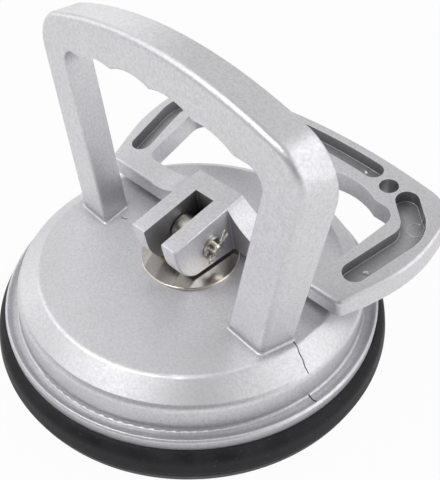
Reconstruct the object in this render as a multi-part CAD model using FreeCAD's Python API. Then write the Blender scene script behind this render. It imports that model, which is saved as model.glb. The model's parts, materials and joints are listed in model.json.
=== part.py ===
import FreeCAD, Part
import math
import os

# A one-cup tile lifter: a cast disc with a fixed arch grip, a rubber pad under it, and a cast
# lever whose cam ears pull the pad's centre stud up through the disc.
# Millimetres and degrees. The origin is on the disc's axis at the underside of the pad, +Z up.
# X runs along the span of the arch and +Y is the side on which the lever lies when it is down.

# ---- rubber pad ----
pad_radius = 59.0
pad_height = 10.5
pad_membrane = 4.5            # thickness of the ring that flexes
pad_foot = 3.9                # rubber left under the steel plate
pad_collar = 2.4              # rubber laid over the steel plate
pad_edge_rounding = 2.6
pad_rim_land = 8.0            # width of the rim's top, which the casting's flange sits on

# ---- steel plate moulded into the pad ----
plate_radius = 31.0
plate_thickness = 2.0
moulding_gap = 0.3            # rubber to steel, at the curved faces

# ---- disc of the casting ----
flange_radius = 55.4
flange_thickness = 3.4
flange_dip = 0.9              # depth of the shallow channel on top of the flange
disc_height = 14.1
flange_ledge = 4.2            # from the wall to the flange's edge
shoulder_run = 7.3            # width of the sloped shoulder
shoulder_drop = 4.2           # height of the sloped shoulder
casting_wall = 4.0
boss_radius = 8.0
boss_drop = 5.0
rib_count = 8
rib_thickness = 3.0
rib_inner_radius = 16.0

# ---- arch grip ----
arch_top = 93.3               # height of the crown above the rest face
arch_front = -11.0
arch_thickness = 10.0
arch_foot_inset = 3.9         # from the edge of the disc's flat top to the outside of a foot
arch_foot_width = 12.5
arch_splay = 8.5              # lean of the outer side of each leg
arch_flare = 2.1              # how much further out the legs stand at the back than in front
arch_crown_radius = 139.0
arch_crown_inset = 4.0        # from above the outside of a foot to the end of the crown's arc
arch_corner_radius = 10.5
arch_corner_growth = 3.0      # how much larger that radius is at the back
arch_inner_splay = 10.6
arch_inner_flare = 2.5        # how much wider each side of the opening is at the back
arch_bar = 10.9               # depth of the top bar at its middle cusp
arch_bar_flare = 0.8          # how much shallower the bar is at the back
arch_inner_corner = 4.5
arch_rounding = 1.8
arch_back_rounding = 0.6
arch_inner_rounding = 0.7
arch_root_rounding = 0.7      # where the feet stand on the disc
arch_scallops = 4
scallop_end_land = 9.1        # from the outermost cusp to the side of the opening
scallop_depth = 1.4
cusp_arc_radius = 128.0
arch_end_rise = 0.3           # from the outermost cusp up to the end of the bar's underside

# ---- stud, washer and spring on the disc's axis ----
stud_radius = 4.6
stud_eye_thickness = 6.2
stud_neck_radius = 3.4
rivet_radius = 6.4
rivet_height = 1.3
running_clearance = 0.08
washer_radius = 14.4
washer_thickness = 0.8
washer_bore_gap = 1.0
washer_slip_way = -70.0       # direction in which the loose washer has slipped on the stud
spring_wire = 1.4
spring_turns = 3.5
spring_gap = 0.5

# ---- lever ----
lever_turn = 3.5              # how far off square the lever lies when it hangs loose
lever_slope = 10.5            # rise of the lever when it is down
cam_base = 7.4                # pivot to cam face when the lever is down
cam_rise = 3.75               # rise of the cam for each radian of lever travel
cam_clearance = 0.1
ear_floor = 6.6               # pivot to the flat underside of the ears
block_half_width = 8.65
block_top = 8.9
block_back = 13.95
slot_half_width = 3.5
slot_end = 7.5
block_rounding = 0.5
web_step = 0.05               # web's crest below the block's rounding
grip_top = -2.46              # top face of the grip, from the pivot
grip_thickness = 7.2
bar_front = 7.6
bar_back = 15.5
web_reach = 26.0              # where the web runs out into the grip
grip_front_half = 46.3
grip_flare = 8.3              # how much further out the grip's sides bow
grip_bow_place = 23.4         # from the front bar to the widest place
grip_side_rounding = 45.0
grip_corner_inset = 3.1
grip_corner_rounding = 13.0
grip_back = 60.0              # pivot to the middle of the back edge
grip_back_radius = 210.0
grip_back_inset = 14.3        # from a back corner to the end of the back edge's long arc
grip_front_rounding = 2.0
grip_rounding = 1.2
front_rail = 9.7              # width of the grip beside the opening, at its front
side_rail = 14.4              # the same, at its widest place
back_rail = 17.1
opening_front_corner = 3.5
opening_back_corner = 4.5
opening_corner_rise = 0.6
finger_count = 3
finger_end_land = 8.3
finger_depth = 2.9
pocket_depth = 4.2
side_pocket_width = 6.8
side_pocket_inset = 3.3       # centre line to the grip's edge, at its front end
side_pocket_start = 3.1       # centre line's start, behind the front bar
side_pocket_bow = 6.9
side_pocket_rounding = 9.0
side_pocket_ends = (20.0, 15.4, 11.8)
back_pocket_width = 6.2
back_pocket_land = 7.4        # from the end of the pocket's centre line to a hole's axis
back_pocket_inset = 6.1
hang_hole_radius = 2.85
hang_hole_inset = 10.3

# ---- pivot pin with its washer and split pin ----
pin_radius = 2.0
pin_head_radius = 3.3
pin_head_height = 1.6
pin_end = 11.3                # near end of the pin, from the middle of the lever
pin_chamfer = 0.5
pin_washer_radius = 3.6
pin_washer_thickness = 0.8
side_play = 0.1
split_wire = 0.3
split_hole_radius = 0.7
split_place = 10.45           # distance of the split pin from the middle of the lever
split_leg = 6.3
split_spread = 0.9
split_eye_radius = 0.75
split_turn = 40.0             # how far the split pin is turned up from the line of the lever

# ---- worked out from the sizes above ----
disc_bottom = pad_height
disc_top = disc_bottom + disc_height
ceiling = disc_top - casting_wall
wall_radius = flange_radius - flange_ledge
disc_top_radius = wall_radius - shoulder_run
arch_foot_half = disc_top_radius - arch_foot_inset
arch_inner_half = arch_foot_half - arch_foot_width
arch_crown_slope = math.asin((arch_foot_half - arch_crown_inset) / arch_crown_radius)
pivot_height = disc_top + washer_thickness + cam_clearance + cam_base
lever_travel = 90.0 - lever_slope
stud_lift = cam_rise * math.radians(lever_travel)
cam_front = cam_base + stud_lift
plate_bottom = pad_foot
plate_top = plate_bottom + plate_thickness
pad_boss_top = plate_top + pad_collar
grip_half = grip_front_half + grip_flare
opening_front_half = grip_front_half - front_rail
opening_back_half = grip_half - side_rail
opening_back = grip_back - back_rail
finger_span = opening_back_half - finger_end_land
hang_hole_place = (finger_span, grip_back - hang_hole_inset)
back_pocket_half = finger_span - back_pocket_land
overlap = 2.0                 # how far joined solids run into each other

X_AXIS = FreeCAD.Vector(1, 0, 0)
Y_AXIS = FreeCAD.Vector(0, 1, 0)
Z_AXIS = FreeCAD.Vector(0, 0, 1)
ORIGIN = FreeCAD.Vector(0, 0, 0)


def flat(a, b):
    return FreeCAD.Vector(a, b, 0)


def rounded_edges(corners, closed=True):
    """Lines through the corners (a, b, radius), with each corner turned into a tangent arc."""
    count = len(corners)
    pieces = []
    for index, (a, b, radius) in enumerate(corners):
        corner = flat(a, b)
        at_end = not closed and index in (0, count - 1)
        if radius <= 0 or at_end:
            pieces.append((corner, None, corner))
            continue
        back = (flat(*corners[index - 1][:2]) - corner).normalize()
        ahead = (flat(*corners[(index + 1) % count][:2]) - corner).normalize()
        half = back.getAngle(ahead) / 2
        reach = radius / math.tan(half)
        middle = (back + ahead).normalize() * (radius / math.sin(half) - radius)
        pieces.append((corner + back * reach, corner + middle, corner + ahead * reach))
    edges = []
    for index, (start, middle, end) in enumerate(pieces):
        if middle is not None:
            edges.append(Part.Arc(start, middle, end).toShape())
        if index < count - 1 or closed:
            following = pieces[(index + 1) % count][0]
            if end.distanceToPoint(following) > 1e-6:
                edges.append(Part.LineSegment(end, following).toShape())
    return edges


def rounded_face(corners):
    return Part.Face(Part.Wire(rounded_edges(corners)))


def plate_from(face, low, high):
    """Extrude a face drawn in the XY plane from one height to another."""
    solid = face.extrude(Z_AXIS * (high - low))
    solid.translate(Z_AXIS * low)
    return solid


def turned(corners):
    """Revolve a section of (radius, height, rounding) corners about the Z axis."""
    section = rounded_face(corners)
    section.rotate(ORIGIN, X_AXIS, 90)
    return section.revolve(ORIGIN, Z_AXIS, 360)


def across(face, low, high):
    """Extrude a side view, drawn as (distance, height), along X from low to high."""
    solid = face.extrude(Z_AXIS * (high - low))
    solid.translate(Z_AXIS * low)
    solid.rotate(ORIGIN, FreeCAD.Vector(1, 1, 1), 120)
    return solid


def upright(face, front, thickness):
    """Extrude a front view, drawn as (X, height), backwards from its front plane."""
    solid = face.extrude(Z_AXIS * -thickness)
    solid.rotate(ORIGIN, X_AXIS, 90)
    solid.translate(Y_AXIS * front)
    return solid


def rod(radius, start, end):
    along = end - start
    return Part.makeCylinder(radius, along.Length, start, along)


# ---- casting: disc and arch grip in one piece ----
def disc_shell():
    outer = turned([
        (0, disc_top, 0),
        (disc_top_radius, disc_top, 2.2),
        (wall_radius - 0.5, disc_top - shoulder_drop, 2.4),
        (wall_radius + 0.2, disc_bottom + flange_thickness - flange_dip, 0.8),
        (wall_radius + 2.2, disc_bottom + flange_thickness - flange_dip, 1.6),
        (flange_radius - 0.6, disc_bottom + flange_thickness, 0.3),
        (flange_radius, disc_bottom + flange_thickness - 0.5, 0.3),
        (flange_radius, disc_bottom, 0),
        (0, disc_bottom, 0),
    ])
    hollow_radius = wall_radius - casting_wall
    hollow = turned([
        (0, ceiling, 0),
        (disc_top_radius - 1.5, ceiling, 2.0),
        (hollow_radius - 0.6, ceiling - shoulder_drop + 1.0, 2.0),
        (hollow_radius, disc_bottom - 1, 0),
        (0, disc_bottom - 1, 0),
    ])
    return outer.cut(hollow)


def disc_ribs():
    length = wall_radius - casting_wall / 2 - rib_inner_radius
    rib = Part.makeBox(length, rib_thickness, boss_drop + overlap,
                       FreeCAD.Vector(rib_inner_radius, -rib_thickness / 2, ceiling - boss_drop))
    inside = turned([
        (0, ceiling + overlap, 0),
        (disc_top_radius, ceiling + overlap, 0),
        (wall_radius - casting_wall / 2, ceiling - boss_drop - 1, 0),
        (0, ceiling - boss_drop - 1, 0),
    ])
    ribs = []
    for index in range(rib_count):
        one = rib.common(inside)
        one.rotate(ORIGIN, Z_AXIS, 360.0 * (index + 0.5) / rib_count)
        ribs.append(one)
    return ribs


def scalloped(cusps, depth):
    """Arcs from cusp to cusp that bulge by the given depth towards larger b."""
    edges = []
    for (a0, b0), (a1, b1) in zip(cusps[:-1], cusps[1:]):
        run = flat(a1 - a0, b1 - b0)
        side = flat(-run.y, run.x).normalize()
        if side.y < 0:
            side = side * -1
        middle = flat((a0 + a1) / 2, (b0 + b1) / 2) + side * depth
        edges.append(Part.Arc(flat(a0, b0), middle, flat(a1, b1)).toShape())
    return edges


def arch_outline(depth):
    """Front view of the arch without its opening, at a depth behind its front face."""
    share = depth / arch_thickness
    foot = disc_top - overlap
    lean = math.tan(math.radians(arch_splay))
    slope = math.tan(arch_crown_slope)
    foot_half = arch_foot_half + arch_flare * share - lean * overlap
    crown_vertex = arch_top + arch_crown_radius * (1 / math.cos(arch_crown_slope) - 1)
    corner_height = (crown_vertex - slope * (foot_half - lean * foot)) / (1 + slope * lean)
    corner_half = foot_half + lean * (corner_height - foot)
    corner_radius = arch_corner_radius + arch_corner_growth * share
    return rounded_edges([
        (-foot_half, foot, 0),
        (-corner_half, corner_height, corner_radius),
        (0, crown_vertex, arch_crown_radius),
        (corner_half, corner_height, corner_radius),
        (foot_half, foot, 0),
    ])


def arch_opening(depth):
    """Front view of the opening under the bar, at a depth behind the arch's front face."""
    share = depth / arch_thickness
    lean = math.tan(math.radians(arch_inner_splay))
    side_half = arch_inner_half + arch_inner_flare * share
    bar_bottom = arch_top - arch_bar + arch_bar_flare * share
    cusp_span = side_half + lean * (bar_bottom - disc_top) - scallop_end_land
    cusps = []
    for index in range(arch_scallops + 1):
        place = cusp_span * (2 * index / arch_scallops - 1)
        drop = cusp_arc_radius - math.sqrt(cusp_arc_radius ** 2 - place ** 2)
        cusps.append((place, bar_bottom - drop))
    end_x, end_z = cusps[-1]
    shoulder = end_z + arch_end_rise
    top_half = side_half + lean * (shoulder - disc_top)
    low_half = side_half - lean * overlap
    sides = rounded_edges([
        (end_x, end_z, 0),
        (top_half, shoulder, arch_inner_corner),
        (low_half, disc_top - overlap, 0),
        (-low_half, disc_top - overlap, 0),
        (-top_half, shoulder, arch_inner_corner),
        (-end_x, end_z, 0),
    ], closed=False)
    return sides + scalloped(cusps, scallop_depth)


def standing(front_view, depth):
    """A front view, drawn as (X, height), stood up at a depth behind the arch's front face."""
    line = Part.Wire(front_view(depth))
    line.rotate(ORIGIN, X_AXIS, 90)
    line.translate(Y_AXIS * (arch_front + depth))
    return line


def between(one, other):
    """Face that joins an edge to the matching edge of another front view."""
    a, b = one.valueAt(one.FirstParameter), one.valueAt(one.LastParameter)
    c, d = other.valueAt(other.FirstParameter), other.valueAt(other.LastParameter)
    straight = one.Curve.TypeId == "Part::GeomLine"
    if straight and (b - a).cross(d - c).Length < 1e-6:
        return Part.Face(Part.makePolygon([a, b, d, c, a]))
    if not straight and (c - a).cross(Y_AXIS).Length + (d - b).cross(Y_AXIS).Length < 1e-6:
        return one.extrude(c - a)
    return Part.makeRuledSurface(one, other)


def flared(front_view, start, end):
    """Solid with straight sides between a front view at one depth and the same at another."""
    near, far = standing(front_view, start), standing(front_view, end)
    faces = [Part.Face(near), Part.Face(far)]
    for one, other in zip(near.Edges, far.Edges):
        faces.append(between(one, other))
    shell = Part.makeShell(faces)
    shell.sewShape()
    return Part.makeSolid(shell).removeSplitter()


def rim(shape, front_view, depth):
    """Edges of the shape along a front view, apart from the one under the disc's top."""
    line = standing(front_view, depth)
    edges = []
    for edge in shape.Edges:
        middle = edge.valueAt((edge.FirstParameter + edge.LastParameter) / 2)
        on_line = Part.Vertex(middle).distToShape(line)[0] < 1e-3
        if on_line and edge.BoundBox.ZMax > disc_top:
            edges.append(edge)
    return edges


def arch_grip():
    grip = flared(arch_outline, 0, arch_thickness)
    grip = grip.makeFillet(arch_rounding, rim(grip, arch_outline, 0))
    grip = grip.makeFillet(arch_back_rounding, rim(grip, arch_outline, arch_thickness))
    grip = grip.cut(flared(arch_opening, -1, arch_thickness + 1))
    for depth in (0, arch_thickness):
        grip = grip.makeFillet(arch_inner_rounding, rim(grip, arch_opening, depth))
    return grip


def foot_roots(casting):
    """Edges along which the arch's feet stand on the disc's flat top."""
    edges = []
    for edge in casting.Edges:
        box = edge.BoundBox
        on_top = abs(box.ZMin - disc_top) < 1e-3 and box.ZLength < 1e-3
        if on_top and box.YMin > arch_front - 0.1 and box.YMax < arch_front + arch_thickness + 0.1:
            edges.append(edge)
    return edges


def body_casting():
    boss = Part.makeCylinder(boss_radius, boss_drop + overlap,
                             FreeCAD.Vector(0, 0, ceiling - boss_drop))
    casting = disc_shell().multiFuse([boss, arch_grip()] + disc_ribs()).removeSplitter()
    casting = casting.makeFillet(arch_root_rounding, foot_roots(casting))
    bore = rod(stud_radius + running_clearance, FreeCAD.Vector(0, 0, disc_bottom),
               FreeCAD.Vector(0, 0, disc_top + 1))
    return casting.cut(bore).removeSplitter()


# ---- pad and what is moulded into it ----
def suction_pad():
    bore = stud_radius + moulding_gap
    plate_room = plate_radius + moulding_gap
    rivet_room = rivet_radius + moulding_gap
    rim_inside = flange_radius - pad_rim_land
    boss_edge = plate_room + 4.0
    return turned([
        (0, 0, 0),
        (pad_radius - 1.2, 0, 1.0),
        (pad_radius, pad_height * 0.38, pad_edge_rounding),
        (pad_radius - 0.9, pad_height - 1.6, 1.2),
        (flange_radius - 0.4, pad_height, 1.0),
        (rim_inside, pad_height, 0.8),
        (rim_inside - 2.4, pad_membrane, 2.0),
        (boss_edge + 1.8, pad_membrane, 1.5),
        (boss_edge, pad_boss_top, 1.2),
        (bore, pad_boss_top, 0),
        (bore, plate_top, 0),
        (plate_room, plate_top, 0),
        (plate_room, plate_bottom, 0),
        (rivet_room, plate_bottom, 0),
        (rivet_room, plate_bottom - rivet_height - 0.1, 0),
        (0, plate_bottom - rivet_height - 0.1, 0),
    ])


def pad_plate():
    hole = stud_neck_radius + running_clearance
    return turned([
        (hole, plate_bottom, 0),
        (plate_radius, plate_bottom, 0.6),
        (plate_radius, plate_top, 0.6),
        (hole, plate_top, 0),
    ])


def lift_stud():
    round_part = turned([
        (0, plate_bottom - rivet_height, 0),
        (rivet_radius, plate_bottom - rivet_height, 0.5),
        (rivet_radius, plate_bottom, 0),
        (stud_neck_radius, plate_bottom, 0),
        (stud_neck_radius, plate_top, 0),
        (stud_radius, plate_top, 0),
        (stud_radius, pivot_height, 0),
        (0, pivot_height, 0),
    ])
    eye = rod(stud_radius, FreeCAD.Vector(-stud_radius, 0, pivot_height),
              FreeCAD.Vector(stud_radius, 0, pivot_height))
    flats_bottom = pivot_height - cam_front - 1.0
    half_eye = stud_eye_thickness / 2
    stud = round_part.fuse(eye)
    for side in (-1, 1):
        low_x = half_eye if side > 0 else -half_eye - stud_radius
        stud = stud.cut(Part.makeBox(stud_radius, 4 * stud_radius, 2 * cam_front,
                                     FreeCAD.Vector(low_x, -2 * stud_radius, flats_bottom)))
    pin_hole = rod(pin_radius + running_clearance, FreeCAD.Vector(-stud_radius, 0, pivot_height),
                   FreeCAD.Vector(stud_radius, 0, pivot_height))
    stud = stud.cut(pin_hole).removeSplitter()
    stud.rotate(ORIGIN, Z_AXIS, lever_turn)
    return stud


def thrust_washer():
    washer = turned([
        (stud_radius + washer_bore_gap, disc_top, 0),
        (washer_radius, disc_top, 0.25),
        (washer_radius, disc_top + washer_thickness, 0.35),
        (stud_radius + washer_bore_gap, disc_top + washer_thickness, 0.2),
    ])
    way = math.radians(washer_slip_way)
    washer.translate(flat(math.cos(way), math.sin(way)) * (washer_bore_gap - moulding_gap))
    return washer


def return_spring():
    coil_radius = boss_radius + spring_gap + spring_wire / 2
    low = pad_boss_top + spring_wire / 2
    high = ceiling - spring_wire / 2
    path = Part.makeHelix((high - low) / spring_turns, high - low, coil_radius)
    path.translate(Z_AXIS * low)
    start = FreeCAD.Vector(coil_radius, 0, low)
    circle = Part.Wire(Part.makeCircle(spring_wire / 2, start, Y_AXIS))
    return Part.Wire(path.Edges).makePipeShell([circle], True, True)


# ---- lever, drawn with the pivot at the origin and its grip along +Y ----
def ear_floor_height(distance):
    """Height of the ears' flat underside, in the lever's own frame."""
    slope = math.radians(lever_slope)
    return (-ear_floor - distance * math.sin(slope)) / math.cos(slope)


def cam_point(travel):
    """Point of the cam that bears on the washer when the lever has been raised by travel."""
    turn = travel + math.radians(lever_slope)
    reach = cam_base + cam_rise * travel
    return flat(-reach * math.sin(turn) - cam_rise * math.cos(turn),
                -reach * math.cos(turn) + cam_rise * math.sin(turn))


def cam_start():
    """Lever travel at which the cam curve leaves the flat underside of the ears."""
    low, high = 0.0, math.radians(lever_travel)
    for _ in range(50):
        middle = (low + high) / 2
        depth = (cam_base + cam_rise * middle) * math.cos(middle) - cam_rise * math.sin(middle)
        if depth > ear_floor:
            low = middle
        else:
            high = middle
    return low


def clevis_block():
    first = cam_start()
    last = math.radians(lever_travel)
    steps = 8
    curve = Part.BSplineCurve()
    curve.interpolate([cam_point(last + (first - last) * step / steps) for step in range(steps + 1)])
    front_top = flat(-cam_front, block_top)
    back_top = flat(block_back, block_top)
    back_low = flat(bar_back, ear_floor_height(bar_back))
    corners = [cam_point(first), back_low, back_top, front_top, cam_point(last)]
    edges = [curve.toShape()]
    for start, end in zip(corners[:-1], corners[1:]):
        edges.append(Part.LineSegment(start, end).toShape())
    side_view = Part.Face(Part.Wire(Part.sortEdges(edges)[0]))
    block = across(side_view, -block_half_width, block_half_width)
    rims = []
    for edge in block.Edges:
        middle = edge.CenterOfMass
        on_side = abs(abs(middle.x) - block_half_width) < 1e-4
        on_top = abs(middle.z - block_top) < 1e-4
        on_front = abs(middle.y + cam_front) < 1e-4
        if (on_side and (on_top or on_front)) or (on_top and on_front):
            rims.append(edge)
    return block.makeFillet(block_rounding, rims)


def web():
    """Front bar's web, which rises from the grip to the block in a hollow curve on each side."""
    grip_low = grip_top - grip_thickness
    crest = block_top - block_rounding - web_step
    run = web_reach - block_half_width
    rise = crest - grip_top
    sweep = (run ** 2 + rise ** 2) / (2 * rise)
    half_turn = math.asin(run / sweep) / 2
    middle_x = web_reach - sweep * math.sin(half_turn)
    middle_z = grip_top + sweep * (1 - math.cos(half_turn))
    edges = []
    for side in (-1, 1):
        edges.append(Part.Arc(flat(side * web_reach, grip_top), flat(side * middle_x, middle_z),
                              flat(side * block_half_width, crest)).toShape())
        edges.append(Part.LineSegment(flat(side * web_reach, grip_top),
                                      flat(side * web_reach, grip_low)).toShape())
    for height, half in ((crest, block_half_width), (grip_low, web_reach)):
        edges.append(Part.LineSegment(flat(-half, height), flat(half, height)).toShape())
    front_view = Part.Face(Part.Wire(Part.sortEdges(edges)[0]))
    side_view = across(rounded_face([
        (bar_front, block_top, 0),
        (block_back, block_top, 0),
        (bar_back, grip_top, 0),
        (bar_back, grip_low, 0),
        (bar_front, grip_low, 0),
    ]), -web_reach, web_reach)
    return upright(front_view, bar_front, bar_back - bar_front).common(side_view)


def grip_outline():
    bow_y = bar_front + grip_bow_place
    corner_x = grip_half - grip_corner_inset
    slope = math.asin((corner_x - grip_back_inset) / grip_back_radius)
    back_vertex = grip_back + grip_back_radius * (1 / math.cos(slope) - 1)
    corner_y = back_vertex - corner_x * math.tan(slope)
    return rounded_face([
        (-grip_front_half, bar_front, grip_front_rounding),
        (grip_front_half, bar_front, grip_front_rounding),
        (grip_half, bow_y, grip_side_rounding),
        (corner_x, corner_y, grip_corner_rounding),
        (0, back_vertex, grip_back_radius),
        (-corner_x, corner_y, grip_corner_rounding),
        (-grip_half, bow_y, grip_side_rounding),
    ])


def hand_opening():
    cusps = []
    for index in range(finger_count + 1):
        cusps.append((finger_span * (2 * index / finger_count - 1), opening_back))
    corner_y = opening_back - opening_corner_rise
    frame = rounded_edges([
        (finger_span, opening_back, 0),
        (opening_back_half, corner_y, opening_back_corner),
        (opening_front_half, bar_back, opening_front_corner),
        (-opening_front_half, bar_back, opening_front_corner),
        (-opening_back_half, corner_y, opening_back_corner),
        (-finger_span, opening_back, 0),
    ], closed=False)
    return Part.Face(Part.Wire(Part.sortEdges(frame + scalloped(cusps, finger_depth))[0]))


def slot_face(edges, width):
    """Face of a round-ended slot along a centre line."""
    line = Part.Wire(edges)
    return Part.Face(line.makeOffset2D(width / 2, join=0, fill=False, openResult=False))


def grip_pockets():
    bend_back, end_inset, end_back = side_pocket_ends
    line = [
        (grip_front_half - side_pocket_inset, bar_back + side_pocket_start, 0),
        (grip_half - side_pocket_bow, grip_back - bend_back, side_pocket_rounding),
        (grip_half - end_inset, grip_back - end_back, 0),
    ]
    side = slot_face(rounded_edges(line, closed=False), side_pocket_width)
    other = side.mirror(ORIGIN, X_AXIS)
    line_radius = grip_back_radius - back_pocket_inset
    line_middle = grip_back - back_pocket_inset
    line_end = line_middle - line_radius + math.sqrt(line_radius ** 2 - back_pocket_half ** 2)
    arc = Part.Arc(flat(-back_pocket_half, line_end), flat(0, line_middle),
                   flat(back_pocket_half, line_end)).toShape()
    return [side, other, slot_face([arc], back_pocket_width)]


def cast_grip():
    low = grip_top - grip_thickness
    grip = plate_from(grip_outline(), low, grip_top).fuse(web()).removeSplitter()
    rims = []
    for edge in grip.Edges:
        box = edge.BoundBox
        beside_web = abs(edge.CenterOfMass.x) > web_reach or edge.CenterOfMass.y > bar_back + 0.1
        on_top = box.ZMin > grip_top - 1e-4 and box.ZLength < 1e-4 and beside_web
        on_front = box.ZMin > grip_top - 1e-4 and box.YMax < bar_front + 1e-4
        if on_top or on_front:
            rims.append(edge)
    grip = grip.makeFillet(grip_rounding, rims)
    grip = grip.cut(plate_from(hand_opening(), low - 1, grip_top + 1))
    for pocket in grip_pockets():
        grip = grip.cut(plate_from(pocket, grip_top - pocket_depth, grip_top + 1))
    hole_x, hole_y = hang_hole_place
    for side in (-1, 1):
        grip = grip.cut(rod(hang_hole_radius, FreeCAD.Vector(side * hole_x, hole_y, low - 1),
                            FreeCAD.Vector(side * hole_x, hole_y, grip_top + 1)))
    return grip


def to_rest(shape):
    """Move a piece of the lever from its own frame to where it lies when it is down."""
    shape.rotate(ORIGIN, X_AXIS, lever_slope)
    shape.translate(Z_AXIS * pivot_height)
    shape.rotate(ORIGIN, Z_AXIS, lever_turn)
    return shape


def lever():
    pin_hole = rod(pin_radius + running_clearance, X_AXIS * (-2 * block_half_width),
                   X_AXIS * (2 * block_half_width))
    solid = cast_grip().multiFuse([clevis_block(), web()]).cut(pin_hole)
    wide = 2 * grip_half
    below = Part.makeBox(wide, grip_back, grip_back, FreeCAD.Vector(-wide / 2, 0, -grip_back - ear_floor))
    below.rotate(ORIGIN, X_AXIS, -lever_slope)
    slot = Part.makeBox(2 * slot_half_width, cam_front + slot_end + 1, 4 * cam_front,
                        FreeCAD.Vector(-slot_half_width, -cam_front - 1, -2 * cam_front))
    return to_rest(solid.cut(below).cut(slot).removeSplitter())


# ---- pin, its washer and its split pin ----
def pivot_pin():
    head_start = -block_half_width - side_play - pin_head_height
    profile = rounded_face([
        (0, head_start, 0),
        (pin_head_radius, head_start, 0.5),
        (pin_head_radius, head_start + pin_head_height, 0),
        (pin_radius, head_start + pin_head_height, 0),
        (pin_radius, pin_end - pin_chamfer, 0),
        (pin_radius - pin_chamfer, pin_end, 0),
        (0, pin_end, 0),
    ])
    pin = profile.revolve(ORIGIN, Y_AXIS, 360)
    pin.rotate(ORIGIN, Z_AXIS, -90)
    cross_hole = rod(split_hole_radius, FreeCAD.Vector(split_place, -2 * pin_radius, 0),
                     FreeCAD.Vector(split_place, 2 * pin_radius, 0))
    cross_hole.rotate(ORIGIN, X_AXIS, split_turn)
    return to_rest(pin.cut(cross_hole))


def pin_washer():
    inner = block_half_width + side_play
    ring = rod(pin_washer_radius, X_AXIS * inner, X_AXIS * (inner + pin_washer_thickness))
    hole = rod(pin_radius + running_clearance, X_AXIS * (inner - 1), X_AXIS * (inner + 2))
    return to_rest(ring.cut(hole))


def split_pin():
    side = split_wire + 0.03
    knee = pin_radius + 0.6
    turn = -pin_radius - 0.8
    spread = split_spread + side
    eye_bend = 0.74 * split_eye_radius
    eye_tip = turn - 2.4 * split_eye_radius
    path = rounded_edges([
        (split_leg, spread, 0),
        (knee, side, 0.8),
        (turn, side, 0.5),
        (turn - split_eye_radius, split_eye_radius, eye_bend),
        (eye_tip, 0, 0.8 * eye_bend),
        (turn - split_eye_radius, -split_eye_radius, eye_bend),
        (turn, -side, 0.5),
        (knee, -side, 0.8),
        (split_leg - 1.0, -spread, 0),
    ], closed=False)
    line = Part.Wire(path)
    first = line.OrderedVertexes[0].Point
    ahead = line.OrderedEdges[0].tangentAt(line.OrderedEdges[0].FirstParameter)
    section = Part.Wire(Part.makeCircle(split_wire, first, ahead))
    wire = line.makePipeShell([section], True, True)
    wire.rotate(ORIGIN, FreeCAD.Vector(1, 1, 1), 120)
    wire.rotate(ORIGIN, X_AXIS, split_turn)
    wire.translate(X_AXIS * split_place)
    return to_rest(wire)


nodes = {
    "body_casting": body_casting,
    "suction_pad": suction_pad,
    "pad_plate": pad_plate,
    "lift_stud": lift_stud,
    "thrust_washer": thrust_washer,
    "return_spring": return_spring,
    "lever": lever,
    "pivot_pin": pivot_pin,
    "pin_washer": pin_washer,
    "split_pin": split_pin,
}

os.makedirs("parts", exist_ok=True)
for name, make in nodes.items():
    shape = make()
    solids = shape.Solids
    print(name, len(solids), "solid(s)", round(shape.Volume, 1), "mm3, valid", shape.isValid())
    shape = solids[0] if len(solids) == 1 else Part.Compound(solids)
    shape.exportStep(os.path.join("parts", name + ".step"))
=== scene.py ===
import json
import math

import bmesh
import bpy
from mathutils import Matrix, Vector
from mathutils.bvhtree import BVHTree
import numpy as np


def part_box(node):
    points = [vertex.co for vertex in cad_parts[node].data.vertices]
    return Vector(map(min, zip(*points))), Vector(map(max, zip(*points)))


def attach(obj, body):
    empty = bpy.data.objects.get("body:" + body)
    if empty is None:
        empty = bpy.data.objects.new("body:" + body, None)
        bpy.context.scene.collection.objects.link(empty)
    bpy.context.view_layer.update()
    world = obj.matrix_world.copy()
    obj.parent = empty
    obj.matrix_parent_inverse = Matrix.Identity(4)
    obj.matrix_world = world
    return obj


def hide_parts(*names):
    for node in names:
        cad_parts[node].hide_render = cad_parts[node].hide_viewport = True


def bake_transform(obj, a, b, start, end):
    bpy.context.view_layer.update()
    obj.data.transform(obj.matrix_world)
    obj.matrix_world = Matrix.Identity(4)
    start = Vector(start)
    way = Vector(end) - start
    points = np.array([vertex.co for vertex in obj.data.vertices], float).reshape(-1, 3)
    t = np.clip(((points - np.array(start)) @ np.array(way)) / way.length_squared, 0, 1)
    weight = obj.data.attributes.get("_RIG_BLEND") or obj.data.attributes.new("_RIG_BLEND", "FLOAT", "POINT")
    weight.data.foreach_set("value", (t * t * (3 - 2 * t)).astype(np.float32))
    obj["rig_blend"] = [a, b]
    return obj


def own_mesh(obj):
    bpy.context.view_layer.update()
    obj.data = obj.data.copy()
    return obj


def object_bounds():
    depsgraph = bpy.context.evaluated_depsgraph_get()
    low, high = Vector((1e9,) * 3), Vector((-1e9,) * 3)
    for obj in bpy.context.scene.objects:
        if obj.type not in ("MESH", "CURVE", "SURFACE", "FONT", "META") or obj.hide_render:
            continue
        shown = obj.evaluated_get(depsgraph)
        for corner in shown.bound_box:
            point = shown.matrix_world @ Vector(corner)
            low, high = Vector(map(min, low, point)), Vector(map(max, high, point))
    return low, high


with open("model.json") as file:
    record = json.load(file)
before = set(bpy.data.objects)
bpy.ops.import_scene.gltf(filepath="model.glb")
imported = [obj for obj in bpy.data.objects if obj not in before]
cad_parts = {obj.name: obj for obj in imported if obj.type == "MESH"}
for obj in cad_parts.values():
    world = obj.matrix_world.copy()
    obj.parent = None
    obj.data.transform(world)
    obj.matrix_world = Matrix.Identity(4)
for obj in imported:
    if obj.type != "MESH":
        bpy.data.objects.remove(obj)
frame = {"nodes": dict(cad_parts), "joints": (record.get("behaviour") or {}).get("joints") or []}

cad_box = [list(corner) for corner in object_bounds()]
nodes = frame["nodes"]

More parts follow.
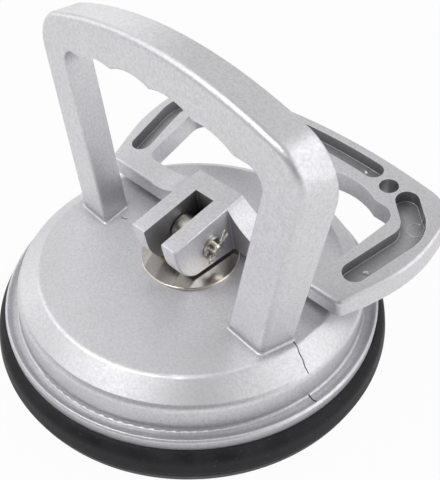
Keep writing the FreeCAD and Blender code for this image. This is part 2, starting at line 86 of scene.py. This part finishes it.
# ---------------------------------------------------------------- casting: disc and arch grip
# The disc, its flange and the arched grip are one die casting in aluminium. It is blasted to an even silver
# grain and left without a coat.
# Its edges and inner corners are painted paler and smoother, partly as wear where hands and tiles rub and
# partly as a painted highlight;
# its hollows are painted darker as painted shade.


def new_material(name):
    material = bpy.data.materials.new(name)
    material.use_nodes = True
    tree = material.node_tree
    return material, tree, tree.nodes["Principled BSDF"]


def add(tree, kind, inputs=None, **settings):
    """Add a shader node, set its options, and set or link its inputs."""
    node = tree.nodes.new(kind)
    for name, value in settings.items():
        setattr(node, name, value)
    for name, value in (inputs or {}).items():
        if isinstance(value, bpy.types.NodeSocket):
            tree.links.new(value, node.inputs[name])
        else:
            node.inputs[name].default_value = value
    return node


def ramp(tree, factor, low, high, low_value, high_value):
    """Map a factor between two places onto two values, and hold them outside."""
    node = add(tree, "ShaderNodeMapRange", {
        "Value": factor, "From Min": low, "From Max": high,
        "To Min": low_value, "To Max": high_value})
    return node.outputs["Result"]


def blend_colour(tree, factor, first, second):
    node = add(tree, "ShaderNodeMix", data_type="RGBA")
    for index, value in ((0, factor), (6, first), (7, second)):
        if isinstance(value, bpy.types.NodeSocket):
            tree.links.new(value, node.inputs[index])
        else:
            node.inputs[index].default_value = value
    return node.outputs[2]


def grain(tree, place, size, detail=2.0, roughness=0.5):
    """Noise whose cells are about this many metres across."""
    return add(tree, "ShaderNodeTexNoise", {
        "Vector": place, "Scale": 1 / size, "Detail": detail, "Roughness": roughness,
    }).outputs["Fac"]


def edge_mask(tree, radius, low, high):
    """1 along outer and inner corners within the radius, 0 on open faces."""
    rounded = add(tree, "ShaderNodeBevel", {"Radius": radius}, samples=6)
    true = add(tree, "ShaderNodeNewGeometry")
    dot = add(tree, "ShaderNodeVectorMath", {
        0: rounded.outputs["Normal"], 1: true.outputs["Normal"]}, operation="DOT_PRODUCT")
    return ramp(tree, dot.outputs["Value"], high, low, 0.0, 1.0)


def cast_aluminium(name, shade_reach, shade_share):
    """Blasted casting; its hollows, sought over this reach in metres, are painted darker by the given share:
    painted shade.
    """
    material, tree, shader = new_material(name)
    place = add(tree, "ShaderNodeTexCoord").outputs["Object"]
    blast = grain(tree, place, 0.00040, 3.0, 0.6)
    fleck = grain(tree, place, 0.00075, 4.0, 0.7)
    cloud = grain(tree, place, 0.010, 3.0, 0.5)
    # Edges and inner corners get a paler, smoother colour: partly rubbed wear, partly a painted highlight.
    rubbed_and_highlit = edge_mask(tree, 0.00045, 0.90, 0.995)
    # Ambient occlusion finds where the surface is hemmed in, for the painted shade below.
    recess_shade = add(tree, "ShaderNodeAmbientOcclusion", {"Distance": shade_reach},
                 samples=8, only_local=True).outputs["AO"]

    pale = (0.765, 0.76, 0.785, 1)
    dull = (0.63, 0.625, 0.645, 1)
    mottled = blend_colour(tree, ramp(tree, fleck, 0.34, 0.62, 0.0, 1.0), dull, pale)
    aged = blend_colour(tree, ramp(tree, cloud, 0.35, 0.75, 0.0, 0.35), mottled, (0.66, 0.655, 0.67, 1))
    # Painted shade: hollows go towards dark grey by the given share.
    shaded_in_hollows = blend_colour(tree, ramp(tree, recess_shade, 0.30, 0.90, shade_share, 0.0), aged, (0.12, 0.12, 0.125, 1))
    tree.links.new(blend_colour(tree, rubbed_and_highlit, shaded_in_hollows, (0.80, 0.80, 0.82, 1)), shader.inputs["Base Color"])
    matt = ramp(tree, fleck, 0.3, 0.7, 0.50, 0.40)
    polished = add(tree, "ShaderNodeMix", {0: rubbed_and_highlit, 3: 0.44}, data_type="FLOAT")
    tree.links.new(matt, polished.inputs[2])
    tree.links.new(polished.outputs[0], shader.inputs["Roughness"])
    shader.inputs["Metallic"].default_value = 0.85

    corner = add(tree, "ShaderNodeBevel", {"Radius": 0.00018}, samples=6)
    pitted = add(tree, "ShaderNodeBump", {
        "Strength": 0.25, "Distance": 0.00012, "Height": blast, "Normal": corner.outputs["Normal"]})
    tree.links.new(pitted.outputs["Normal"], shader.inputs["Normal"])
    return material


def finish(node, material):
    """Give a node of the frame its material in place of the plain one."""
    nodes[node].data.materials.clear()
    nodes[node].data.materials.append(material)


# The casting's hollows, sought over 5 mm, are painted half way to dark grey: painted shade.
silver_casting = cast_aluminium("silver casting", 0.005, 0.5)
finish("body_casting", silver_casting)

# ---------------------------------------------------------------- seam of the casting
# The die's two halves left a fine seam from the near foot over the shoulder to the flange.
# On the shoulder and the flange, and in a scrap by the far foot, it is drawn as a thin dark bead: painted
# shade standing for its narrow gap.
# It was filed flush on the disc, so there only a pale trace is left, and short scraps stand by the feet.


def swept_wire(name, points, radius, sides=12):
    """Tube of this radius along a run of points, closed at both ends."""
    curve = bpy.data.curves.new(name, "CURVE")
    curve.dimensions = "3D"
    spline = curve.splines.new("POLY")
    spline.points.add(len(points) - 1)
    for point, place in zip(spline.points, points):
        point.co = (*place, 1)
    curve.bevel_depth = radius
    curve.bevel_resolution = sides // 4
    curve.use_fill_caps = True
    carrier = bpy.data.objects.new(name + "_line", curve)
    bpy.context.scene.collection.objects.link(carrier)
    bpy.context.view_layer.update()
    mesh = bpy.data.meshes.new_from_object(carrier)
    bpy.data.objects.remove(carrier)
    mesh.name = name
    for face in mesh.polygons:
        face.use_smooth = True
    piece = bpy.data.objects.new(name, mesh)
    bpy.context.scene.collection.objects.link(piece)
    return piece


def laid_on(node, track, above):
    """Where vertical lines through these plan points, coming down from a height, first meet a node."""
    surface = BVHTree.FromObject(nodes[node], bpy.context.evaluated_depsgraph_get())
    down = Vector((0, 0, -1))
    return [surface.ray_cast(Vector((x, y, above)), down)[0] for x, y in track]


def divided(track, parts):
    """The same run of plan points with each stretch cut into equal parts."""
    cut = []
    for (x, y), (next_x, next_y) in zip(track[:-1], track[1:]):
        for part in range(parts):
            t = part / parts
            cut.append((x + (next_x - x) * t, y + (next_y - y) * t))
    return cut + [track[-1]]


def shaded_seam_metal(name):
    """Dark metal drawn along a die seam, standing for the shade in its narrow gap: painted shade."""
    material, tree, shader = new_material(name)
    place = add(tree, "ShaderNodeTexCoord").outputs["Object"]
    seam_grain = grain(tree, place, 0.0005, 3.0, 0.6)
    shade = blend_colour(tree, seam_grain, (0.04, 0.04, 0.045, 1), (0.20, 0.20, 0.21, 1))
    tree.links.new(shade, shader.inputs["Base Color"])
    tree.links.new(ramp(tree, seam_grain, 0.3, 0.7, 0.65, 0.45), shader.inputs["Roughness"])
    shader.inputs["Metallic"].default_value = 0.7
    bump = add(tree, "ShaderNodeBump", {"Strength": 0.3, "Distance": 0.0001, "Height": seam_grain})
    tree.links.new(bump.outputs["Normal"], shader.inputs["Normal"])
    return material


dark_seam = shaded_seam_metal("dark seam")
just_over_disc = 0.0255
# The dark seam beads carry painted shade for the gap; the silver ones are plain casting.
for name, radius, material, track in (
        ("shoulder_seam", 0.00014, dark_seam,
         ((0.0425, -0.0018), (0.0441, -0.0021), (0.0456, -0.0027), (0.0470, -0.0029),
          (0.0486, -0.0036), (0.0501, -0.0038))),
        ("flange_seam", 0.00020, dark_seam, ((0.0514, -0.0041), (0.0528, -0.0044), (0.0543, -0.0045))),
        ("disc_seam", 0.00007, silver_casting,
         ((0.0193, -0.0053), (0.0215, -0.0051), (0.0243, -0.0054), (0.0275, -0.0050))),
        ("far_foot_scrap", 0.00014, dark_seam, ((-0.0268, -0.0058), (-0.0258, -0.0054), (-0.0250, -0.0049))),
        ("near_foot_scrap", 0.00012, silver_casting, ((0.0406, -0.0122), (0.0399, -0.0128)))):
    seam = swept_wire(name, laid_on("body_casting", divided(track, 4), just_over_disc), radius)
    seam.data.materials.append(material)
    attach(seam, "housing")

# ---------------------------------------------------------------- rubber pad
# The pad is moulded in black nitrile rubber. Its rim stands proud of the casting all round, and a
# thin ring between the rim and the middle flexes when the stud pulls the middle up.


def revolved(name, outline, turns=288):
    """Mesh made by turning a closed outline of (radius, height) points about the Z axis."""
    mesh = bpy.data.meshes.new(name)
    build = bmesh.new()
    rings = []
    for radius, height in outline:
        if radius < 1e-7:
            rings.append([build.verts.new((0, 0, height))] * turns)
            continue
        ring = []
        for step in range(turns):
            angle = 2 * math.pi * step / turns
            ring.append(build.verts.new((radius * math.cos(angle), radius * math.sin(angle), height)))
        rings.append(ring)
    closed_on_axis = outline[0][0] < 1e-7 and outline[-1][0] < 1e-7
    pairs = list(zip(rings[:-1], rings[1:]))
    if not closed_on_axis:
        pairs.append((rings[-1], rings[0]))
    for low, high in pairs:
        for step in range(turns):
            after = (step + 1) % turns
            corners = []
            for vertex in (low[step], low[after], high[after], high[step]):
                if vertex not in corners:
                    corners.append(vertex)
            if len(corners) > 2:
                build.faces.new(corners)
    bmesh.ops.recalc_face_normals(build, faces=build.faces)
    build.to_mesh(mesh)
    build.free()
    piece = bpy.data.objects.new(name, mesh)
    bpy.context.scene.collection.objects.link(piece)
    for face in mesh.polygons:
        face.use_smooth = True
    return piece


def softened(corners, steps=8):
    """Replace each (radius, height, rounding) corner of an open outline by a smooth curve."""
    points = []
    last = len(corners) - 1
    for index, (radius, height, rounding) in enumerate(corners):
        corner = Vector((radius, height))
        if rounding == 0 or index in (0, last):
            points.append(tuple(corner))
            continue
        back = Vector(corners[index - 1][:2]) - corner
        ahead = Vector(corners[index + 1][:2]) - corner
        start = corner + back.normalized() * min(rounding, back.length * 0.49)
        end = corner + ahead.normalized() * min(rounding, ahead.length * 0.49)
        for step in range(steps + 1):
            t = step / steps
            points.append(tuple(start * (1 - t) ** 2 + corner * (2 * t * (1 - t)) + end * t ** 2))
    return points


def black_rubber(name):
    material, tree, shader = new_material(name)
    place = add(tree, "ShaderNodeTexCoord").outputs["Object"]
    bloom = grain(tree, place, 0.006, 4.0, 0.6)
    speck = grain(tree, place, 0.0006, 2.0, 0.5)
    fine = grain(tree, place, 0.00025, 2.0, 0.5)
    dark = (0.012, 0.012, 0.014, 1)
    grey = (0.026, 0.026, 0.029, 1)
    bloomed = blend_colour(tree, ramp(tree, bloom, 0.35, 0.7, 0.0, 1.0), dark, grey)
    dusty = blend_colour(tree, ramp(tree, speck, 0.66, 0.76, 0.0, 0.35), bloomed, (0.16, 0.16, 0.155, 1))
    tree.links.new(dusty, shader.inputs["Base Color"])
    tree.links.new(ramp(tree, bloom, 0.3, 0.7, 0.48, 0.62), shader.inputs["Roughness"])
    shader.inputs["Specular IOR Level"].default_value = 0.22
    bump = add(tree, "ShaderNodeBump", {"Strength": 0.12, "Distance": 0.0001, "Height": fine})
    tree.links.new(bump.outputs["Normal"], shader.inputs["Normal"])
    return material


pad_low, pad_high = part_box("suction_pad")
plate_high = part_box("pad_plate")[1]
pad_radius = pad_high.x
pad_seat = pad_high.z
flange_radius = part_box("body_casting")[1].y
rim_inside = flange_radius - 0.008
boss_edge = plate_high.x + 0.0043
boss_top = plate_high.z + 0.0024
ring_top = 0.0045
mould_line = 0.00025
mould_height = pad_seat * 0.36
pad_outline = softened([
    (0, pad_low.z, 0),
    (pad_radius - 0.0012, pad_low.z, 0.0009),
    (pad_radius - 0.0001, mould_height, 0.0018),
    (pad_radius - mould_line, mould_height + 0.0003, 0),
    (pad_radius - mould_line, mould_height + 0.0006, 0),
    (pad_radius - 0.0001, mould_height + 0.0009, 0.0004),
    (pad_radius - 0.0009, pad_seat - 0.0017, 0.0012),
    (flange_radius + 0.0006, pad_seat - 0.0001, 0.0008),
    (flange_radius - 0.0004, pad_seat, 0.0006),
    (rim_inside, pad_seat, 0.0008),
    (rim_inside - 0.0024, ring_top, 0.0018),
    (boss_edge + 0.0018, ring_top, 0.0015),
    (boss_edge, boss_top, 0.0012),
    (0.0049, boss_top, 0),
    (0.0049, plate_high.z + 0.0001, 0),
    (0, plate_high.z + 0.0001, 0),
])
pad = revolved("rubber_pad", pad_outline)
pad.data.materials.append(black_rubber("black rubber"))
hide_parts("suction_pad")
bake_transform(pad, "housing", "lift_plate", start=(rim_inside, 0, 0), end=(boss_edge, 0, 0))
weights = pad.data.attributes["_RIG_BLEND"].data
for vertex in pad.data.vertices:
    away = math.hypot(vertex.co.x, vertex.co.y)
    t = min(max((rim_inside - away) / (rim_inside - boss_edge), 0), 1)
    weights[vertex.index].value = t * t * (3 - 2 * t)

# ---------------------------------------------------------------- steel plate in the pad
# A zinc-plated steel disc is moulded into the middle of the pad and carries the stud. It is
# blanked from sheet, so its faces show the spangle of the plating.


def plated_steel(name, colour, roughness, spangle, wear=0.3):
    material, tree, shader = new_material(name)
    place = add(tree, "ShaderNodeTexCoord").outputs["Object"]
    flake = add(tree, "ShaderNodeTexVoronoi", {"Vector": place, "Scale": 1 / spangle})
    tint = add(tree, "ShaderNodeSeparateColor", {"Color": flake.outputs["Color"]}).outputs["Red"]
    stain = grain(tree, place, spangle * 4, 3.0, 0.6)
    darker = tuple(channel * 0.8 for channel in colour[:3]) + (1,)
    flaked = blend_colour(tree, tint, colour, darker)
    stained = blend_colour(tree, ramp(tree, stain, 0.5, 0.8, 0.0, wear), flaked, (0.34, 0.32, 0.29, 1))
    tree.links.new(stained, shader.inputs["Base Color"])
    tree.links.new(ramp(tree, tint, 0, 1, roughness * 0.75, roughness * 1.3), shader.inputs["Roughness"])
    shader.inputs["Metallic"].default_value = 1.0
    bump = add(tree, "ShaderNodeBump", {"Strength": 0.1, "Distance": 0.00005, "Height": stain})
    tree.links.new(bump.outputs["Normal"], shader.inputs["Normal"])
    return material


finish("pad_plate", plated_steel("zinc plate", (0.62, 0.63, 0.65, 1), 0.34, 0.0018))

# ---------------------------------------------------------------- lift stud
# The stud is turned from steel bar, milled flat on two sides for the lever's slot and nickel
# plated. It is riveted through the steel plate and drilled across for the pivot pin.


def turned_steel(name, colour, axis, centre, pitch, roughness, tarnish=0.25):
    """Bright steel with the fine rings that a lathe leaves round the axis."""
    material, tree, shader = new_material(name)
    place = add(tree, "ShaderNodeTexCoord").outputs["Object"]
    offset = add(tree, "ShaderNodeVectorMath", {0: place, 1: centre}, operation="SUBTRACT").outputs[0]
    along = add(tree, "ShaderNodeVectorMath", {0: offset, 1: axis}, operation="DOT_PRODUCT")
    on_axis = add(tree, "ShaderNodeVectorMath", {0: axis, "Scale": along.outputs["Value"]},
                  operation="SCALE").outputs[0]
    away = add(tree, "ShaderNodeVectorMath", {0: offset, 1: on_axis}, operation="SUBTRACT").outputs[0]
    radius = add(tree, "ShaderNodeVectorMath", {0: away}, operation="LENGTH").outputs["Value"]
    cut = add(tree, "ShaderNodeMath", {0: radius, 1: along.outputs["Value"]}, operation="ADD").outputs[0]
    rings = add(tree, "ShaderNodeTexNoise", {
        "W": cut, "Scale": 1 / pitch, "Detail": 3.0, "Roughness": 0.6}, noise_dimensions="1D")
    stain = grain(tree, place, 0.0016, 4.0, 0.6)
    dull = tuple(channel * 0.62 for channel in colour[:3]) + (1,)
    ringed = blend_colour(tree, ramp(tree, rings.outputs["Fac"], 0.3, 0.7, 0.0, 0.35), colour, dull)
    stained = blend_colour(tree, ramp(tree, stain, 0.48, 0.75, 0.0, tarnish), ringed,
                           (0.20, 0.185, 0.16, 1))
    tree.links.new(stained, shader.inputs["Base Color"])
    tree.links.new(ramp(tree, stain, 0.3, 0.7, roughness * 0.7, roughness * 1.5),
                   shader.inputs["Roughness"])
    shader.inputs["Metallic"].default_value = 1.0
    corner = add(tree, "ShaderNodeBevel", {"Radius": 0.00012}, samples=6)
    bump = add(tree, "ShaderNodeBump", {
        "Strength": 0.25, "Distance": 0.00003, "Height": rings.outputs["Fac"],
        "Normal": corner.outputs["Normal"]})
    tree.links.new(bump.outputs["Normal"], shader.inputs["Normal"])
    return material


finish("lift_stud", turned_steel("nickel stud", (0.66, 0.64, 0.60, 1), (0, 0, 1), (0, 0, 0),
                                 0.00018, 0.26))

# ---------------------------------------------------------------- return spring
# A coil spring of hard-drawn wire stands round the disc's middle boss. It is wound with its end
# turns lying flat, and it pushes the middle of the pad down again when the lever is let go.
spring_low, spring_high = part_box("return_spring")
wire_radius = 0.0007
coil_radius = spring_high.x - wire_radius
free_turns = 3.5
end_turns = 0.75
total_turns = free_turns + 2 * end_turns
low_turn = spring_low.z + wire_radius
high_turn = spring_high.z - wire_radius
coil = []
for step in range(int(total_turns * 48) + 1):
    turn = step / 48
    share = min(max((turn - end_turns) / free_turns, 0), 1)
    eased = share * share * (3 - 2 * share) * 0.35 + share * 0.65
    angle = 2 * math.pi * turn
    coil.append((coil_radius * math.cos(angle), coil_radius * math.sin(angle),
                 low_turn + (high_turn - low_turn) * eased))
spring = swept_wire("coil_spring", coil, wire_radius * 0.98)
spring.data.materials.append(plated_steel("drawn wire", (0.50, 0.51, 0.53, 1), 0.3, 0.0009))
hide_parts("return_spring")
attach(spring, "housing")
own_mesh(spring)

# ---------------------------------------------------------------- thrust washer
# A loose washer of bright nickel-plated steel lies on the disc. The cam ears of the lever slide on it;
# its top carries faint rings from pressing and scattered darker stains.


def bright_nickel(name, centre):
    material, tree, shader = new_material(name)
    place = add(tree, "ShaderNodeTexCoord").outputs["Object"]
    offset = add(tree, "ShaderNodeVectorMath", {0: place, 1: centre}, operation="SUBTRACT").outputs[0]
    level = add(tree, "ShaderNodeVectorMath", {0: offset, 1: (1, 1, 0)}, operation="MULTIPLY").outputs[0]
    radius = add(tree, "ShaderNodeVectorMath", {0: level}, operation="LENGTH").outputs["Value"]
    rings = add(tree, "ShaderNodeTexNoise", {
        "W": radius, "Scale": 1 / 0.0006, "Detail": 4.0, "Roughness": 0.65}, noise_dimensions="1D")
    stain = grain(tree, place, 0.0035, 4.0, 0.6)
    warm = (0.66, 0.62, 0.55, 1)
    cool = (0.74, 0.72, 0.69, 1)
    ringed = blend_colour(tree, rings.outputs["Fac"], warm, cool)
    stained = blend_colour(tree, ramp(tree, stain, 0.5, 0.8, 0.0, 0.45), ringed, (0.30, 0.27, 0.22, 1))
    tree.links.new(stained, shader.inputs["Base Color"])
    tree.links.new(ramp(tree, stain, 0.3, 0.7, 0.10, 0.26), shader.inputs["Roughness"])
    shader.inputs["Metallic"].default_value = 1.0
    bump = add(tree, "ShaderNodeBump", {
        "Strength": 0.2, "Distance": 0.00003, "Height": rings.outputs["Fac"]})
    tree.links.new(bump.outputs["Normal"], shader.inputs["Normal"])
    return material


washer_low, washer_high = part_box("thrust_washer")
washer_centre = tuple((washer_low + washer_high) / 2)
finish("thrust_washer", bright_nickel("bright nickel", washer_centre))

# ---------------------------------------------------------------- lever
# The lever is a second die casting in the same aluminium. Its ears straddle the stud and work as
# cams, and its grip is cored out from above with three pockets and two round holes.
# Its pockets and holes, sought over 12 mm, are painted most of the way to dark grey: painted shade.
cored_casting = cast_aluminium("cored casting", 0.012, 0.80)
finish("lever", cored_casting)

# ---------------------------------------------------------------- marks in the lever's pockets
# An ejector pin left a round ring on the floor of the near side pocket, and where the metal was
# fed in, two small lumps were left standing at the pockets' ends.
over_lever = 0.060
ejector_x, ejector_y, ejector_radius = 0.0428, 0.0465, 0.0024
ejector = []
for step in range(49):
    turn = 2 * math.pi * step / 48
    ejector.append((ejector_x + ejector_radius * math.cos(turn),
                    ejector_y + ejector_radius * math.sin(turn)))
ejector_ring = swept_wire("ejector_ring", laid_on("lever", ejector, over_lever), 0.00016)
ejector_ring.data.materials.append(cored_casting)
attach(ejector_ring, "lever")


def cast_lump(name, place, length, width, height, turn):
    """Small uneven lump of metal, half sunk in the casting."""
    mesh = bpy.data.meshes.new(name)
    build = bmesh.new()
    bmesh.ops.create_icosphere(build, subdivisions=4, radius=1.0)
    for vertex in build.verts:
        x, y, z = vertex.co
        swell = 1 + 0.16 * math.sin(3.1 * x + 1.0) * math.cos(2.7 * y) + 0.10 * math.sin(5.3 * z + 2.0 * x)
        vertex.co = Vector((x * length / 2, y * width / 2, z * height)) * swell
    build.to_mesh(mesh)
    build.free()
    for face in mesh.polygons:
        face.use_smooth = True
    lump = bpy.data.objects.new(name, mesh)
    bpy.context.scene.collection.objects.link(lump)
    lump.matrix_world = Matrix.Translation(place) @ Matrix.Rotation(math.radians(turn), 4, "Z")
    lump.data.materials.append(cored_casting)
    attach(lump, "lever")


near_end, far_end = laid_on("lever", ((0.0421, 0.0263), (0.0178, 0.0554)), over_lever)
cast_lump("near_lump", near_end, 0.0024, 0.0016, 0.0006, 20)
cast_lump("far_lump", far_end, 0.0020, 0.0014, 0.0006, -35)

# ---------------------------------------------------------------- pivot pin
# A headed clevis pin, turned and nickel plated, passes through both ears and the stud's eye.
pivot = [joint for joint in frame["joints"] if joint["name"] == "lever_pivot"][0]
pivot_place = Vector(pivot["pos_m"])
pivot_axis = Vector(pivot["axis"]).normalized()
bright_pin = turned_steel("nickel pin", (0.70, 0.67, 0.62, 1), tuple(pivot_axis), tuple(pivot_place),
                          0.00015, 0.2, 0.35)
finish("pivot_pin", bright_pin)

# ---------------------------------------------------------------- washer on the pin
# A small pressed washer keeps the split pin off the cast ear.
finish("pin_washer", bright_pin)

# ---------------------------------------------------------------- split pin
# A split pin of soft half-round wire is pushed through the pin's cross hole and spread.
finish("split_pin", plated_steel("split pin wire", (0.72, 0.70, 0.66, 1), 0.24, 0.0005))

# ---------------------------------------------------------------- floor
# A plain white sweep on which the tool stands.


def white_floor(name):
    """White to the lens, with the tool's soft shadow kept on it."""
    material, tree, shader = new_material(name)
    shader.inputs["Base Color"].default_value = (0.60, 0.60, 0.60, 1)
    shader.inputs["Roughness"].default_value = 0.9
    shader.inputs["Specular IOR Level"].default_value = 0.1
    path = add(tree, "ShaderNodeLightPath")
    seen = path.outputs["Is Camera Ray"]
    for ray in ("Is Glossy Ray", "Is Transmission Ray"):
        seen = add(tree, "ShaderNodeMath", {0: seen, 1: path.outputs[ray]}, operation="MAXIMUM").outputs[0]
    share = add(tree, "ShaderNodeMath", {0: seen, 1: 0.96}, operation="MULTIPLY")
    glow = add(tree, "ShaderNodeEmission", {"Color": (1, 1, 1, 1), "Strength": 1.0})
    mix = add(tree, "ShaderNodeMixShader", {0: share.outputs[0]})
    tree.links.new(shader.outputs["BSDF"], mix.inputs[1])
    tree.links.new(glow.outputs["Emission"], mix.inputs[2])
    tree.links.new(mix.outputs["Shader"], tree.nodes["Material Output"].inputs["Surface"])
    return material


floor_mesh = bpy.data.meshes.new("floor")
reach = 3.0
floor_mesh.from_pydata([(-reach, -reach, 0), (reach, -reach, 0), (reach, reach, 0), (-reach, reach, 0)],
                       [], [(0, 1, 2, 3)])
floor = bpy.data.objects.new("floor", floor_mesh)
bpy.context.scene.collection.objects.link(floor)
floor.location.z = cad_box[0][2] - 0.00005
floor_mesh.materials.append(white_floor("white floor"))

# ---------------------------------------------------------------- light
# Pale walls that fade to a dim ceiling, with soft panels in three groups: left, right and behind.
world = bpy.data.worlds.new("studio")
bpy.context.scene.world = world
world.use_nodes = True
sky = world.node_tree
wall = sky.nodes["Background"]
outward = add(sky, "ShaderNodeTexCoord").outputs["Generated"]
height = add(sky, "ShaderNodeSeparateXYZ", {"Vector": outward}).outputs["Z"]
wall.inputs["Color"].default_value = (1, 1, 1, 1)
sky.links.new(ramp(sky, height, 0.05, 0.40, 0.93, 0.09), wall.inputs["Strength"])
tool_middle = Vector((0, 0.01, 0.03))


def soft_panel(name, azimuth, elevation, width, height, power):
    """Area lamp a metre off, in a direction given in degrees and aimed at the tool."""
    lamp = bpy.data.lights.new(name, "AREA")
    lamp.shape = "RECTANGLE"
    lamp.size = width
    lamp.size_y = height
    lamp.energy = power
    holder = bpy.data.objects.new(name, lamp)
    bpy.context.scene.collection.objects.link(holder)
    round_, up_ = math.radians(azimuth), math.radians(elevation)
    away = Vector((math.cos(round_) * math.cos(up_), math.sin(round_) * math.cos(up_), math.sin(up_)))
    holder.location = tool_middle + away
    holder.rotation_euler = (-away).to_track_quat("-Z", "Y").to_euler()


for panel in (
        ("left_high", 220, 55, 0.95, 0.80, 3.5),
        ("left_front", 257, 65, 0.38, 0.38, 2.3),
        ("left_low", 198, 22, 0.50, 0.35, 0.8),
        ("right", 32, 34, 0.60, 0.40, 1.2),
        ("right_high", 62, 50, 0.45, 0.45, 1.7),
        ("right_front", 2, 50, 0.45, 0.45, 0.85),
        ("right_low", 24, 18, 0.45, 0.30, 0.8),
        ("behind", 115, 42, 0.55, 0.45, 0.7),
        ("behind_high", 158, 52, 0.45, 0.40, 0.35),
        ("behind_low", 155, 24, 0.45, 0.35, 0.7)):
    soft_panel(*panel)

# ---------------------------------------------------------------- camera
# Near and high, looking down over the near foot of the arch.
azimuth, elevation, roll = math.radians(48.60), math.radians(42.50), math.radians(-0.29)
aim = Vector((0.01034, -0.00010, 0.03609))
distance = 0.18401
back = Vector((math.sin(azimuth) * math.cos(elevation),
               -math.cos(azimuth) * math.cos(elevation), math.sin(elevation)))
level = (-back).cross(Vector((0, 0, 1))).normalized()
upward = level.cross(-back)
right = level * math.cos(roll) + upward * math.sin(roll)
up = upward * math.cos(roll) - level * math.sin(roll)
lens = bpy.data.cameras.new("camera")
lens.sensor_width = 36
lens.lens = 50.75
lens.shift_x = 0.0111
lens.shift_y = 0.0047
lens.clip_start = 0.01
camera = bpy.data.objects.new("camera", lens)
bpy.context.scene.collection.objects.link(camera)
camera.matrix_world = Matrix((
    (right.x, up.x, back.x, (aim + back * distance).x),
    (right.y, up.y, back.y, (aim + back * distance).y),
    (right.z, up.z, back.z, (aim + back * distance).z),
    (0, 0, 0, 1)))
bpy.context.scene.camera = camera
bpy.context.scene.view_settings.view_transform = "Standard"
